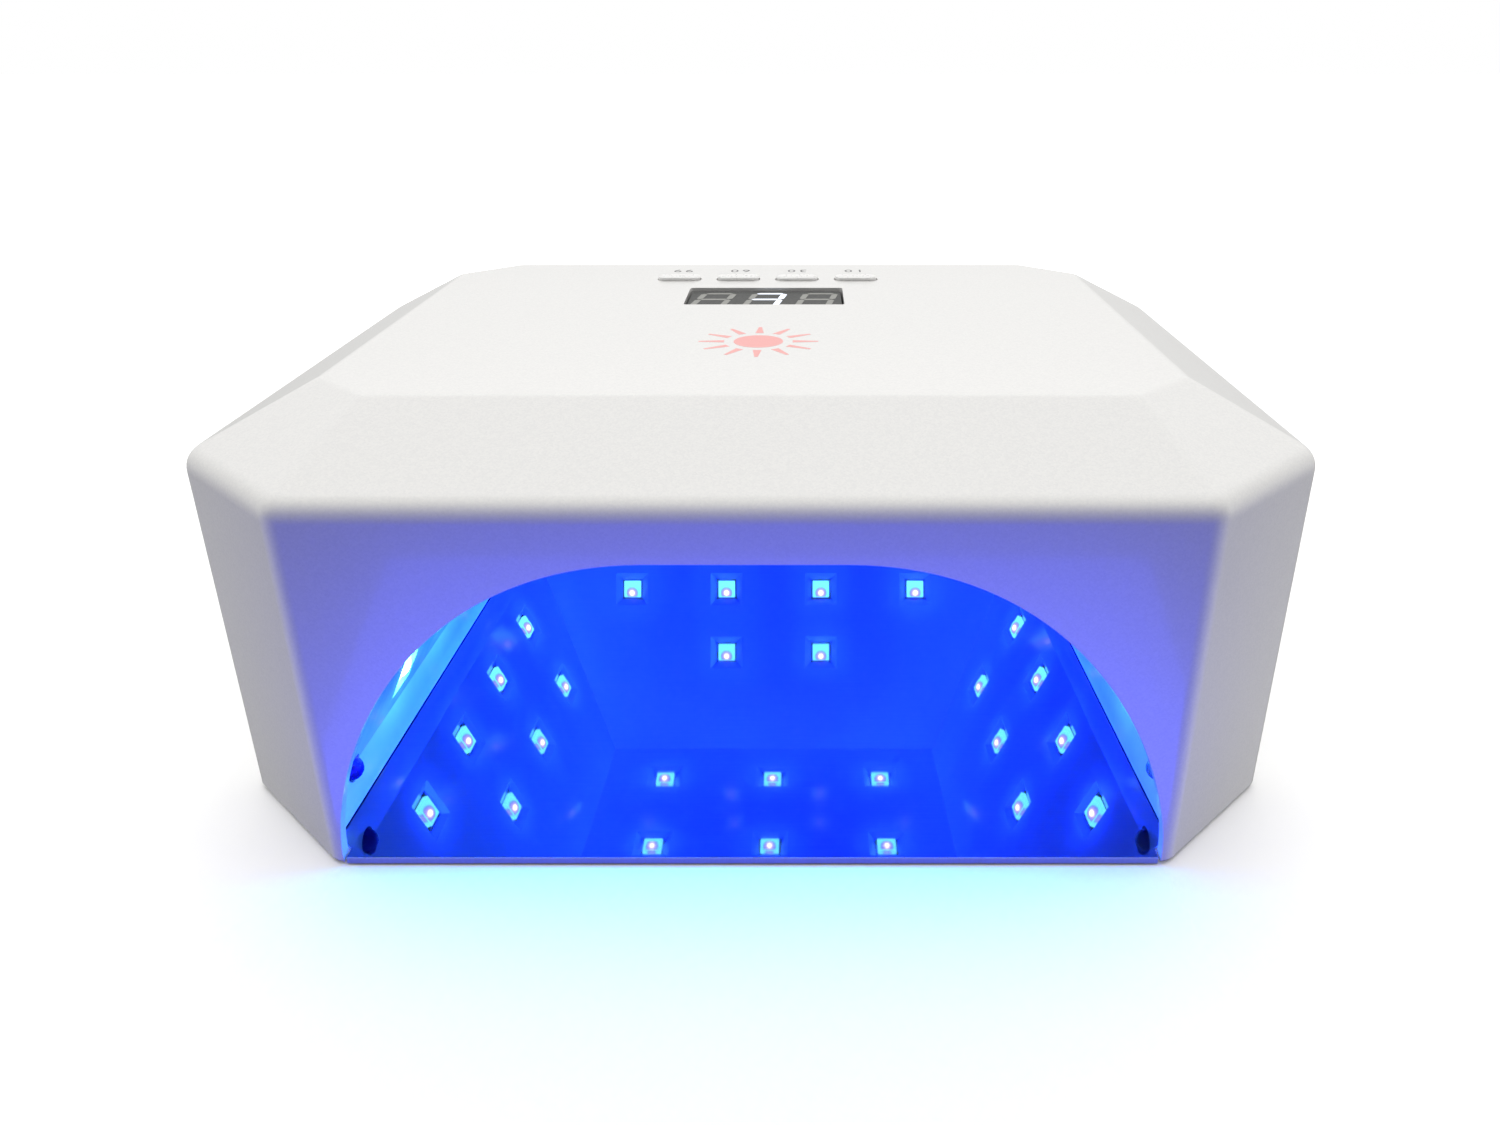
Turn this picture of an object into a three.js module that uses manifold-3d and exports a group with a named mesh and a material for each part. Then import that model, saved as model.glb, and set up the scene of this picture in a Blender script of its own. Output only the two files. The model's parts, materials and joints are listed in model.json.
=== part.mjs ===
// A UV LED nail lamp: an octagonal housing with an arched opening for a hand, over a thin mirror tray.
// Units are millimetres. +Z is up and the arch faces -Y. The origin is on the table, under the middle.
import * as THREE from "three";
import { ConvexGeometry } from "three/addons/geometries/ConvexGeometry.js";
import { mergeVertices } from "three/addons/utils/BufferGeometryUtils.js";
import Module from "manifold-3d";

const wasm = await Module();
wasm.setup();

// ---------------------------------------------------------------- driving dimensions
const GAP = 0.3; // clearance between pieces that touch
const FAR = 200; // longer than anything in the lamp, for cutters
const REACH = 5; // how far a cutter runs to each side of a wall's face
const BLEND = 0.5; // how deep joined shapes run into each other
const FEW_SIDES = 12;
const SIDES = 20;
const MANY_SIDES = 24;

// Plans of the housing: the vertical walls, and the flat top that the sloping facets rise to.
const WALLS = { halfX: 102.5, front: -84, back: 84, frontCut: 25, backCut: 25, radius: 5 };
const CROWN = { halfX: 82, front: -55, back: 70.5, frontCut: 12, backCut: 13, radius: 1.5 };
const SHELL = 2.5; // thickness of the housing
const WALL_BOTTOM = 0.5;
const SHOULDER_Z = 72;
const TOP_Z = 82;
const INNER_SHOULDER_Z = 70.3;
const CROWN_INSET = 0.6; // the hollow's top outline, inside the crown's
const CORNER_STEPS = 3;
const CORNER_TURN = Math.PI / 4; // each corner of the octagon
const CORNER_CUT_OFFSET = 2 - Math.SQRT2; // how a 45 degree corner cut shrinks as an octagon is inset

// The arched opening: flat in the middle, then one curve down to each foot.
const ARCH = { halfX: 76.1, top: 61.8, flat: 17, shoulderPull: 41, footZ: 0.7, footPull: 21.5 };
const ARCH_STEPS = 18;
const PLATE_CORNER_STEPS = 5;

// The liner's cavity: a vertical band, then walls leaning in to a flat ceiling.
const CAVITY = { frontX: 79, bandBack: 71.4, bandTop: 11, ceiling: 66 };
const LEAN = 0.461; // how far the liner's walls move in for each unit of height
const TAPER = 0.032; // how far its side walls move in for each unit towards the back
const LINER = 1.5;
const LINER_BOTTOM = 2;

const TRAY = { halfX: 88.5, back: 78, bottom: 1, thickness: 0.7, tongueX: 75.6, cut: 15 };
const TRAY_LIP = { thickness: 0.7, bottom: 0.3 }; // the front edge, turned down
const TRAY_STRIP = { x: 60, width: 6, length: 110, height: 0.7 };

const FRAME = { bottom: 2, thickness: 2.5 };
const SCREW = {
  x: 93,
  y: 38,
  bottom: 2.3,
  headR: 2.8,
  headHeight: 1.1,
  edge: 0.4,
  shankR: 1.25,
  tip: 1,
  top: 15,
};
const CROSS_SLOT = { reach: 1.7, half: 0.35, depth: 0.8 };
const PILOT_DEPTH = 2; // how far a post's hole runs past its screw
const POST_R = 3.5;
const FOOT = { x: 94.5, y: 54, r: 4.5, height: 1.7 };
const MAGNET = { x: 84.3, r: 3, height: 1.7 };
const magnetTop = FRAME.bottom + MAGNET.height;

// The three-digit module stands in its own opening, a little below the top face.
const DISPLAY = { y: 29, width: 37.6, depth: 18.6, bottom: 72.7, sunk: 0.9, margin: 0.4, openingRadius: 0.8 };

// The time keys stand in one row behind the display.
const KEYS = { y: 50, pitch: 15.4, length: 10.7, width: 5, radius: 2, proud: 0.8, gap: 0.35 };
const KEY_SECONDS = [99, 60, 30, 10];
const KEY_FLANGE = { margin: 0.9, bottom: 77.4, height: 1.5 };
const SWITCH = { side: 6, bottom: 72.5, height: 3.4, plungerR: 1.7, plungerTop: 76.5 };

const BOARD = 1.2; // thickness of each circuit board
const CONTROL_BOARD = { width: 70, front: 14, back: 60, bottom: 71 };
const LED_BOARD_LIFT = 0.6; // from the back of the liner to an LED board
const LED_BOARDS = {
  top: { length: 84, height: 56 },
  side: { length: 108, height: 34 },
  back: { length: 108, height: 34 },
};
const SIDE_BOARD_Y = -2;
const SLOPED_BOARD_Z = 30; // height of the middle of each sloping LED board

const LED = { side: 5.1, thickness: 1.4, lensR: 2.1, lensHeight: 0.8, behind: 0.3 };
const LENS_STEPS = 3;
const LED_WINDOW = { mouth: 10, throat: 6 };
const LED_TOP = { xs: [-32.4, 0, 32.4], ys: [0.3, 31.6] };
const LED_SIDE = [
  { z: 20, ys: [-45.5, -17, 12, 41.5] },
  { z: 40, ys: [-17, 12, 41.5] },
];
const LED_BACK = [
  { z: 20.6, xs: [-44.25, -14.75, 14.75, 44.25] },
  { z: 38.6, xs: [-14.75, 14.75] },
];

const SENSOR = { y: -68, z: 10.5, r: 2.5, flangeR: 2.9, stickOut: 2, length: 5 };
const NOSE_STEPS = 5;
const JACK = {
  z: 50,
  bodySide: 11,
  bodyDepth: 11,
  noseR: 4,
  sunk: 0.2,
  boreR: 2.85,
  boreDepth: 10,
  pinR: 1,
  pinDepth: 1.5,
};

// ---------------------------------------------------------------- looks
const LOOKS = {
  pearl: { color: 0xf4f2ef, roughness: 0.18, metalness: 0 },
  liner: { color: 0xf6f7fb, roughness: 0.1, metalness: 0.1 },
  frame: { color: 0xe9e8e6, roughness: 0.45, metalness: 0 },
  mirror: { color: 0xdfe3e8, roughness: 0.03, metalness: 1 },
  module: { color: 0x6b6c6b, roughness: 0.5, metalness: 0 },
  key: { color: 0xf7f6f4, roughness: 0.3, metalness: 0 },
  blackPlastic: { color: 0x17181a, roughness: 0.5, metalness: 0 },
  board: { color: 0x1e5c3a, roughness: 0.5, metalness: 0 },
  whiteBoard: { color: 0xe8ebe9, roughness: 0.45, metalness: 0 },
  led: { color: 0xd8ecff, roughness: 0.15, metalness: 0 },
  clearEpoxy: { color: 0xc9dcf5, roughness: 0.1, metalness: 0 },
  steel: { color: 0xb4b7bb, roughness: 0.3, metalness: 1 },
  rubber: { color: 0x2a2a2c, roughness: 0.9, metalness: 0 },
};

const lamp = new THREE.Group();

function addPart(name, geometry, look, matrix = new THREE.Matrix4()) {
  const mesh = new THREE.Mesh(geometry, new THREE.MeshStandardMaterial(LOOKS[look]));
  mesh.name = name;
  mesh.applyMatrix4(matrix);
  lamp.add(mesh);
}

// ---------------------------------------------------------------- joining and cutting
function toSolid(geometry) {
  const bare = geometry.clone();
  bare.deleteAttribute("normal");
  bare.deleteAttribute("uv");
  const merged = mergeVertices(bare, 1e-4);
  const vertProperties = new Float32Array(merged.attributes.position.array);
  const triVerts = new Uint32Array(merged.index.array);
  return new wasm.Manifold(new wasm.Mesh({ numProp: 3, vertProperties, triVerts }));
}

function toGeometry(solid) {
  const mesh = solid.getMesh();
  const indexed = new THREE.BufferGeometry();
  indexed.setAttribute("position", new THREE.BufferAttribute(mesh.vertProperties, mesh.numProp));
  indexed.setIndex(new THREE.BufferAttribute(mesh.triVerts, 1));
  const geometry = indexed.toNonIndexed();
  geometry.computeVertexNormals();
  return geometry;
}

function cut(base, cutters) {
  return cutters.reduce((solid, cutter) => solid.subtract(toSolid(cutter)), base);
}

function join(base, pieces) {
  return pieces.reduce((solid, piece) => solid.add(toSolid(piece)), base);
}

// ---------------------------------------------------------------- simple shapes
function box(low, high) {
  const size = high.map((value, axis) => value - low[axis]);
  const geometry = new THREE.BoxGeometry(...size);
  return geometry.translate(...low.map((value, axis) => value + size[axis] / 2));
}

function upright(radius, bottom, top, x, y, sides = SIDES) {
  const geometry = new THREE.CylinderGeometry(radius, radius, top - bottom, sides);
  return geometry.rotateX(Math.PI / 2).translate(x, y, (top + bottom) / 2);
}

function along(radius, front, back, x, z, sides = SIDES) {
  const geometry = new THREE.CylinderGeometry(radius, radius, back - front, sides);
  return geometry.translate(x, (front + back) / 2, z);
}

// A flat plate with rounded corners, between two heights.
function plate(width, depth, radius, bottom, top, x = 0, y = 0) {
  const halfX = width / 2 - radius;
  const halfY = depth / 2 - radius;
  const shape = new THREE.Shape();
  shape.absarc(halfX, halfY, radius, 0, Math.PI / 2);
  shape.absarc(-halfX, halfY, radius, Math.PI / 2, Math.PI);
  shape.absarc(-halfX, -halfY, radius, Math.PI, Math.PI * 1.5);
  shape.absarc(halfX, -halfY, radius, Math.PI * 1.5, Math.PI * 2);
  const settings = { depth: top - bottom, bevelEnabled: false, curveSegments: PLATE_CORNER_STEPS };
  return new THREE.ExtrudeGeometry(shape, settings).translate(x, y, bottom);
}

// ---------------------------------------------------------------- the octagonal plan
function mixPlans(a, b, amount) {
  const mixed = {};
  for (const key of Object.keys(a)) mixed[key] = THREE.MathUtils.lerp(a[key], b[key], amount);
  return mixed;
}

function insetPlan(plan, inset) {
  return {
    halfX: plan.halfX - inset,
    front: plan.front + inset,
    back: plan.back - inset,
    frontCut: plan.frontCut - CORNER_CUT_OFFSET * inset,
    backCut: plan.backCut - CORNER_CUT_OFFSET * inset,
    radius: plan.radius,
  };
}

function octagon(plan) {
  const { halfX, front, back, frontCut, backCut } = plan;
  const right = [
    [halfX - frontCut, front],
    [halfX, front + frontCut],
    [halfX, back - backCut],
    [halfX - backCut, back],
  ].map(([x, y]) => new THREE.Vector2(x, y));
  const left = right.map((point) => new THREE.Vector2(-point.x, point.y)).reverse();
  return [...right, ...left];
}

// Each corner becomes a short curve that leaves both edges tangentially.
function roundedOctagon(plan) {
  const corners = octagon(plan);
  const tangent = plan.radius * Math.tan(CORNER_TURN / 2);
  return corners.flatMap((corner, i) => {
    const before = corners[(i + corners.length - 1) % corners.length];
    const after = corners[(i + 1) % corners.length];
    const start = corner.clone().add(before.clone().sub(corner).setLength(tangent));
    const end = corner.clone().add(after.clone().sub(corner).setLength(tangent));
    return new THREE.QuadraticBezierCurve(start, corner, end).getPoints(CORNER_STEPS);
  });
}

function ring(plan, z) {
  return roundedOctagon(plan).map((point) => new THREE.Vector3(point.x, point.y, z));
}

function planPlate(points, bottom, top) {
  const settings = { depth: top - bottom, bevelEnabled: false };
  return new THREE.ExtrudeGeometry(new THREE.Shape(points), settings).translate(0, 0, bottom);
}

// ---------------------------------------------------------------- housing
const SHOULDER_DROP = 3.1; // how far below the shoulder its rounding starts
const SHOULDER_RISE = 0.12; // the share of the facets that its rounding takes
const CREST = 0.965; // where the facets give way to the crown's small edge rounding
const CREST_INSET = 0.8;
const FOOT_ROUND = 0.6;

function shoulderRing(t) {
  const drop = (1 - t) ** 2 * SHOULDER_DROP;
  const share = SHOULDER_RISE * t ** 2;
  const z = SHOULDER_Z - drop + share * (TOP_Z - SHOULDER_Z);
  return ring(mixPlans(WALLS, CROWN, share), z);
}

function housingOutside() {
  const crestZ = THREE.MathUtils.lerp(SHOULDER_Z, TOP_Z, CREST);
  return new ConvexGeometry([
    ...ring(insetPlan(WALLS, FOOT_ROUND), WALL_BOTTOM),
    ...ring(WALLS, WALL_BOTTOM + FOOT_ROUND),
    ...[0, 1 / 3, 2 / 3, 1].flatMap(shoulderRing),
    ...ring(mixPlans(WALLS, CROWN, CREST), crestZ),
    ...ring(insetPlan(CROWN, CREST_INSET), TOP_Z),
  ]);
}

function housingInside(clearance) {
  const walls = { ...insetPlan(WALLS, SHELL + clearance), radius: WALLS.radius / 2 };
  const crown = insetPlan(CROWN, CROWN_INSET + clearance);
  return new ConvexGeometry([
    ...ring(walls, -REACH),
    ...ring(walls, INNER_SHOULDER_Z - clearance),
    ...ring(crown, TOP_Z - SHELL - clearance),
  ]);
}

// The arch, cut along Y between two distances from the middle.
function archCutter(front, back) {
  const { halfX, top } = ARCH;
  const footHandle = ARCH.footZ + ARCH.footPull;
  const shoulderX = ARCH.flat + ARCH.shoulderPull;
  const shape = new THREE.Shape();
  shape.moveTo(-halfX, -top);
  shape.lineTo(halfX, -top);
  shape.lineTo(halfX, ARCH.footZ);
  shape.bezierCurveTo(halfX, footHandle, shoulderX, top, ARCH.flat, top);
  shape.lineTo(-ARCH.flat, top);
  shape.bezierCurveTo(-shoulderX, top, -halfX, footHandle, -halfX, ARCH.footZ);
  const settings = { depth: back - front, bevelEnabled: false, curveSegments: ARCH_STEPS };
  return new THREE.ExtrudeGeometry(shape, settings).rotateX(Math.PI / 2).translate(0, back, 0);
}

// Four places, one in each corner.
function fourSpots(x, y) {
  return [-1, 1].flatMap((sideX) => [-1, 1].map((sideY) => [sideX * x, sideY * y]));
}

const screwSpots = fourSpots(SCREW.x, SCREW.y);
const footSpots = fourSpots(FOOT.x, FOOT.y);
const keyX = KEY_SECONDS.map((_, i) => (i - (KEY_SECONDS.length - 1) / 2) * KEYS.pitch);

// A key's outline, grown by a margin.
function keyOutline(x, margin, bottom, top) {
  const radius = KEYS.radius + margin;
  return plate(KEYS.length + 2 * margin, KEYS.width + 2 * margin, radius, bottom, top, x, KEYS.y);
}

function displayOpening() {
  const width = DISPLAY.width + 2 * DISPLAY.margin;
  const depth = DISPLAY.depth + 2 * DISPLAY.margin;
  return plate(width, depth, DISPLAY.openingRadius, DISPLAY.bottom, FAR, 0, DISPLAY.y);
}

// The posts are left standing in the hollow, so they follow the underside of the facets.
function housing() {
  const postBottom = FRAME.bottom + FRAME.thickness + GAP;
  const pilotTop = SCREW.top + PILOT_DEPTH;
  const posts = screwSpots.map(([x, y]) => upright(POST_R, postBottom, TOP_Z, x, y));
  const shell = toSolid(housingOutside()).subtract(cut(toSolid(housingInside(0)), posts));
  return toGeometry(
    cut(shell, [
      archCutter(WALLS.front - REACH, WALLS.front + REACH),
      displayOpening(),
      ...keyX.map((x) => keyOutline(x, KEYS.gap, DISPLAY.bottom, FAR)),
      ...screwSpots.map(([x, y]) => upright(SCREW.shankR + GAP, 0, pilotTop, x, y, FEW_SIDES)),
      along(JACK.noseR + GAP, WALLS.back - REACH, WALLS.back + REACH, 0, JACK.z, MANY_SIDES),
    ]),
  );
}

// ---------------------------------------------------------------- liner and LED places
const leanLength = Math.hypot(1, LEAN);
const bandX = (y) => CAVITY.frontX - TAPER * (y - WALLS.front);
const wallX = (y, z) => bandX(y) - LEAN * (z - CAVITY.bandTop);
const wallY = (z) => CAVITY.bandBack - LEAN * (z - CAVITY.bandTop);

// The cavity, or the same shape grown by a wall thickness. It runs out past the front.
function cavityShape(grow, front) {
  const bandTop = CAVITY.bandTop + (grow * (leanLength - 1)) / LEAN;
  const ceiling = CAVITY.ceiling + grow;
  const shift = grow * leanLength;
  const levels = [
    { z: -REACH, back: CAVITY.bandBack + grow, halfX: (y) => bandX(y) + grow },
    { z: bandTop, back: CAVITY.bandBack + grow, halfX: (y) => bandX(y) + grow },
    { z: ceiling, back: wallY(ceiling) + shift, halfX: (y) => wallX(y, ceiling) + shift },
  ];
  return new ConvexGeometry(
    levels.flatMap(({ z, back, halfX }) => [
      new THREE.Vector3(-halfX(front), front, z),
      new THREE.Vector3(halfX(front), front, z),
      new THREE.Vector3(halfX(back), back, z),
      new THREE.Vector3(-halfX(back), back, z),
    ]),
  );
}

// A frame on the liner's surface: X along the wall, Y up it, Z into the cavity.
function surfaceFrame(point, sideways, inward) {
  const up = new THREE.Vector3().crossVectors(inward, sideways);
  return new THREE.Matrix4().makeBasis(sideways, up, inward).setPosition(point);
}

const WALL_FRAMES = {
  top: (x, y) => {
    const point = new THREE.Vector3(x, y, CAVITY.ceiling);
    return surfaceFrame(point, new THREE.Vector3(1, 0, 0), new THREE.Vector3(0, 0, -1));
  },
  left: (y, z) => {
    const point = new THREE.Vector3(-wallX(y, z), y, z);
    const inward = new THREE.Vector3(1, -TAPER, -LEAN).normalize();
    return surfaceFrame(point, new THREE.Vector3(TAPER, 1, 0).normalize(), inward);
  },
  right: (y, z) => {
    const point = new THREE.Vector3(wallX(y, z), y, z);
    const inward = new THREE.Vector3(-1, -TAPER, -LEAN).normalize();
    return surfaceFrame(point, new THREE.Vector3(TAPER, -1, 0).normalize(), inward);
  },
  back: (x, z) => {
    const inward = new THREE.Vector3(0, -1, -LEAN).normalize();
    return surfaceFrame(new THREE.Vector3(x, wallY(z), z), new THREE.Vector3(-1, 0, 0), inward);
  },
};

const ledFrames = {
  top: LED_TOP.ys.flatMap((y) => LED_TOP.xs.map((x) => WALL_FRAMES.top(x, y))),
  left: LED_SIDE.flatMap(({ z, ys }) => ys.map((y) => WALL_FRAMES.left(y, z))),
  right: LED_SIDE.flatMap(({ z, ys }) => ys.map((y) => WALL_FRAMES.right(y, z))),
  back: LED_BACK.flatMap(({ z, xs }) => xs.map((x) => WALL_FRAMES.back(x, z))),
};

// A square funnel through the liner, wide at the cavity side.
function ledWindowCutter(matrix) {
  const overrun = BLEND;
  const slope = (LED_WINDOW.mouth - LED_WINDOW.throat) / LINER;
  const wide = ((LED_WINDOW.mouth + slope * overrun) / 2) * Math.SQRT2;
  const narrow = ((LED_WINDOW.throat - slope * overrun) / 2) * Math.SQRT2;
  const depth = LINER + 2 * overrun;
  const funnel = new THREE.CylinderGeometry(wide, narrow, depth, 4);
  return funnel
    .rotateY(Math.PI / 4)
    .rotateX(Math.PI / 2)
    .translate(0, 0, overrun - depth / 2)
    .applyMatrix4(matrix);
}

// One long cutter makes the sensor holes in both bands.
function sensorHoles() {
  const radius = SENSOR.r + GAP;
  const geometry = new THREE.CylinderGeometry(radius, radius, 2 * WALLS.halfX, SIDES);
  return geometry.rotateZ(Math.PI / 2).translate(0, SENSOR.y, SENSOR.z);
}

function liner() {
  const past = WALLS.front - REACH;
  const aboveTray = toSolid(box([-FAR, -FAR, LINER_BOTTOM], [FAR, FAR, FAR]));
  const room = toSolid(housingInside(GAP)).intersect(aboveTray);
  const skin = toSolid(cavityShape(LINER, past)).subtract(toSolid(cavityShape(0, past - REACH)));
  const windows = Object.values(ledFrames).flat().map(ledWindowCutter);
  return toGeometry(cut(skin.intersect(room), [sensorHoles(), ...windows]));
}

// ---------------------------------------------------------------- tray and underside
function tray() {
  const behindWall = WALLS.front + SHELL + GAP;
  const spread = TRAY.halfX - TRAY.tongueX;
  const right = [
    [TRAY.tongueX, WALLS.front],
    [TRAY.tongueX, behindWall],
    [TRAY.halfX, behindWall + spread],
    [TRAY.halfX, TRAY.back - TRAY.cut],
    [TRAY.halfX - TRAY.cut, TRAY.back],
  ].map(([x, y]) => new THREE.Vector2(x, y));
  const left = right.map((point) => new THREE.Vector2(-point.x, point.y)).reverse();
  const top = TRAY.bottom + TRAY.thickness;
  const plate = planPlate([...right, ...left], TRAY.bottom, top);
  const lip = box(
    [-TRAY.tongueX, WALLS.front, TRAY_LIP.bottom],
    [TRAY.tongueX, WALLS.front + TRAY_LIP.thickness, top],
  );
  return toGeometry(join(toSolid(plate), [lip]));
}

function trayStrip(x) {
  const halfWidth = TRAY_STRIP.width / 2;
  const halfLength = TRAY_STRIP.length / 2;
  return box([x - halfWidth, -halfLength, 0], [x + halfWidth, halfLength, TRAY_STRIP.height]);
}

function bottomFrame() {
  const top = FRAME.bottom + FRAME.thickness;
  const around = cavityShape(LINER + GAP, WALLS.front - REACH);
  const whole = planPlate(octagon(insetPlan(WALLS, SHELL + GAP)), FRAME.bottom, top);
  const headRoom = SCREW.bottom + SCREW.headHeight + GAP;
  return toGeometry(
    cut(toSolid(whole), [
      around,
      ...screwSpots.map(([x, y]) => upright(SCREW.headR + GAP, 0, headRoom, x, y)),
      ...screwSpots.map(([x, y]) => upright(SCREW.shankR + GAP, 0, FAR, x, y, FEW_SIDES)),
      ...[-1, 1].map((side) => upright(MAGNET.r + GAP, 0, magnetTop + GAP, side * MAGNET.x, 0)),
    ]),
  );
}

function screw(x, y) {
  const { headR, headHeight, edge, shankR, tip, bottom, top } = SCREW;
  const profile = [
    [0, bottom],
    [headR - edge, bottom],
    [headR, bottom + edge],
    [headR, bottom + headHeight],
    [shankR, bottom + headHeight],
    [shankR, top - tip],
    [0, top],
  ].map(([radius, z]) => new THREE.Vector2(radius, z));
  const turned = new THREE.LatheGeometry(profile, SIDES).rotateX(Math.PI / 2).translate(x, y, 0);
  const { reach, half, depth } = CROSS_SLOT;
  return toGeometry(
    cut(toSolid(turned), [
      box([x - reach, y - half, 0], [x + reach, y + half, bottom + depth]),
      box([x - half, y - reach, 0], [x + half, y + reach, bottom + depth]),
    ]),
  );
}

// ---------------------------------------------------------------- display, keys and boards
function keyCap(x) {
  const flangeTop = KEY_FLANGE.bottom + KEY_FLANGE.height;
  const stem = keyOutline(x, 0, flangeTop - BLEND, TOP_Z + KEYS.proud);
  const flange = keyOutline(x, KEY_FLANGE.margin, KEY_FLANGE.bottom, flangeTop);
  return toGeometry(toSolid(flange).add(toSolid(stem)));
}

function tactSwitch(x) {
  const half = SWITCH.side / 2;
  const top = SWITCH.bottom + SWITCH.height;
  const base = box([x - half, KEYS.y - half, SWITCH.bottom], [x + half, KEYS.y + half, top]);
  const plunger = upright(SWITCH.plungerR, top - BLEND, SWITCH.plungerTop, x, KEYS.y);
  return toGeometry(toSolid(base).add(toSolid(plunger)));
}

function displayModule() {
  const half = DISPLAY.width / 2;
  const front = DISPLAY.y - DISPLAY.depth / 2;
  const back = DISPLAY.y + DISPLAY.depth / 2;
  return box([-half, front, DISPLAY.bottom], [half, back, TOP_Z - DISPLAY.sunk]);
}

function controlBoard() {
  const half = CONTROL_BOARD.width / 2;
  const { front, back, bottom } = CONTROL_BOARD;
  return box([-half, front, bottom], [half, back, bottom + BOARD]);
}

function ledBoard({ length, height }) {
  const top = -LINER - LED_BOARD_LIFT;
  return box([-length / 2, -height / 2, top - BOARD], [length / 2, height / 2, top]);
}

// ---------------------------------------------------------------- LEDs, sensor and inlet
function led() {
  const { side, thickness, lensR, lensHeight, behind } = LED;
  const bottom = -LINER - LED_BOARD_LIFT + behind;
  const top = bottom + thickness;
  const body = box([-side / 2, -side / 2, bottom], [side / 2, side / 2, top]);
  const dome = Array.from({ length: LENS_STEPS }, (_, i) => {
    const angle = (i / LENS_STEPS) * (Math.PI / 2);
    return [lensR * Math.cos(angle), top + lensHeight * Math.sin(angle)];
  });
  const profile = [[0, top - BLEND], [lensR, top - BLEND], ...dome, [0, top + lensHeight]].map(
    ([radius, z]) => new THREE.Vector2(radius, z),
  );
  const lens = new THREE.LatheGeometry(profile, FEW_SIDES).rotateX(Math.PI / 2);
  return toGeometry(toSolid(body).add(toSolid(lens)));
}

// A 5 mm round sensor with a domed nose that looks out of the band, towards the middle.
function sensor(side) {
  const inner = bandX(SENSOR.y) - SENSOR.stickOut;
  const noseStart = inner + SENSOR.r;
  const outer = inner + SENSOR.length + SENSOR.stickOut;
  const nose = Array.from({ length: NOSE_STEPS }, (_, i) => {
    const angle = ((i + 1) / NOSE_STEPS) * (Math.PI / 2);
    return [SENSOR.r * Math.sin(angle), noseStart - SENSOR.r * Math.cos(angle)];
  });
  const flangeAt = bandX(SENSOR.y - SENSOR.flangeR) + LINER + GAP;
  const profile = [
    [0, inner],
    ...nose,
    [SENSOR.r, flangeAt],
    [SENSOR.flangeR, flangeAt],
    [SENSOR.flangeR, outer],
    [0, outer],
  ].map(([radius, distance]) => new THREE.Vector2(radius, distance));
  const turned = new THREE.LatheGeometry(profile, SIDES);
  return turned.rotateZ((-side * Math.PI) / 2).translate(0, SENSOR.y, SENSOR.z);
}

function jack() {
  const { z, bodySide, bodyDepth, noseR, sunk, boreR, boreDepth, pinR, pinDepth } = JACK;
  const mouth = WALLS.back - sunk;
  const bodyBack = WALLS.back - SHELL - GAP;
  const half = bodySide / 2;
  const body = box([-half, bodyBack - bodyDepth, z - half], [half, bodyBack, z + half]);
  const nose = along(noseR, bodyBack - BLEND, mouth, 0, z, MANY_SIDES);
  const bore = along(boreR, mouth - boreDepth, mouth + REACH, 0, z, MANY_SIDES);
  const pin = along(pinR, mouth - boreDepth - BLEND, mouth - pinDepth, 0, z, FEW_SIDES);
  return toGeometry(join(cut(join(toSolid(body), [nose]), [bore]), [pin]));
}

// ---------------------------------------------------------------- assembly
addPart("top_housing", housing(), "pearl");
addPart("inner_reflector", liner(), "liner");
addPart("bottom_frame", bottomFrame(), "frame");
addPart("base_tray", tray(), "mirror");
addPart("tray_strip_left", trayStrip(-TRAY_STRIP.x), "rubber");
addPart("tray_strip_right", trayStrip(TRAY_STRIP.x), "rubber");

addPart("display_module", displayModule(), "module");
addPart("control_board", controlBoard(), "board");

KEY_SECONDS.forEach((seconds, i) => {
  addPart(`key_${seconds}s`, keyCap(keyX[i]), "key");
  addPart(`switch_${seconds}s`, tactSwitch(keyX[i]), "blackPlastic");
});

const boardFrames = {
  top: [LED_BOARDS.top, WALL_FRAMES.top(0, (LED_TOP.ys[0] + LED_TOP.ys[1]) / 2)],
  left: [LED_BOARDS.side, WALL_FRAMES.left(SIDE_BOARD_Y, SLOPED_BOARD_Z)],
  right: [LED_BOARDS.side, WALL_FRAMES.right(SIDE_BOARD_Y, SLOPED_BOARD_Z)],
  back: [LED_BOARDS.back, WALL_FRAMES.back(0, SLOPED_BOARD_Z)],
};
for (const [wall, [size, matrix]] of Object.entries(boardFrames)) {
  addPart(`led_board_${wall}`, ledBoard(size), "whiteBoard", matrix);
}
for (const [wall, frames] of Object.entries(ledFrames)) {
  frames.forEach((matrix, i) => addPart(`led_${wall}_${i + 1}`, led(), "led", matrix));
}

addPart("ir_receiver", sensor(-1), "blackPlastic");
addPart("ir_emitter", sensor(1), "clearEpoxy");
addPart("dc_jack", jack(), "blackPlastic");

addPart("magnet_left", upright(MAGNET.r, FRAME.bottom, magnetTop, -MAGNET.x, 0), "steel");
addPart("magnet_right", upright(MAGNET.r, FRAME.bottom, magnetTop, MAGNET.x, 0), "steel");
screwSpots.forEach(([x, y], i) => {
  addPart(`screw_${i + 1}`, screw(x, y), "steel");
});
footSpots.forEach(([x, y], i) => {
  addPart(`foot_${i + 1}`, upright(FOOT.r, 0, FOOT.height, x, y, MANY_SIDES), "rubber");
});

export default lamp;
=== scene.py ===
import json
import math

import bmesh
import bpy
from mathutils import Matrix, Vector

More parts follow.
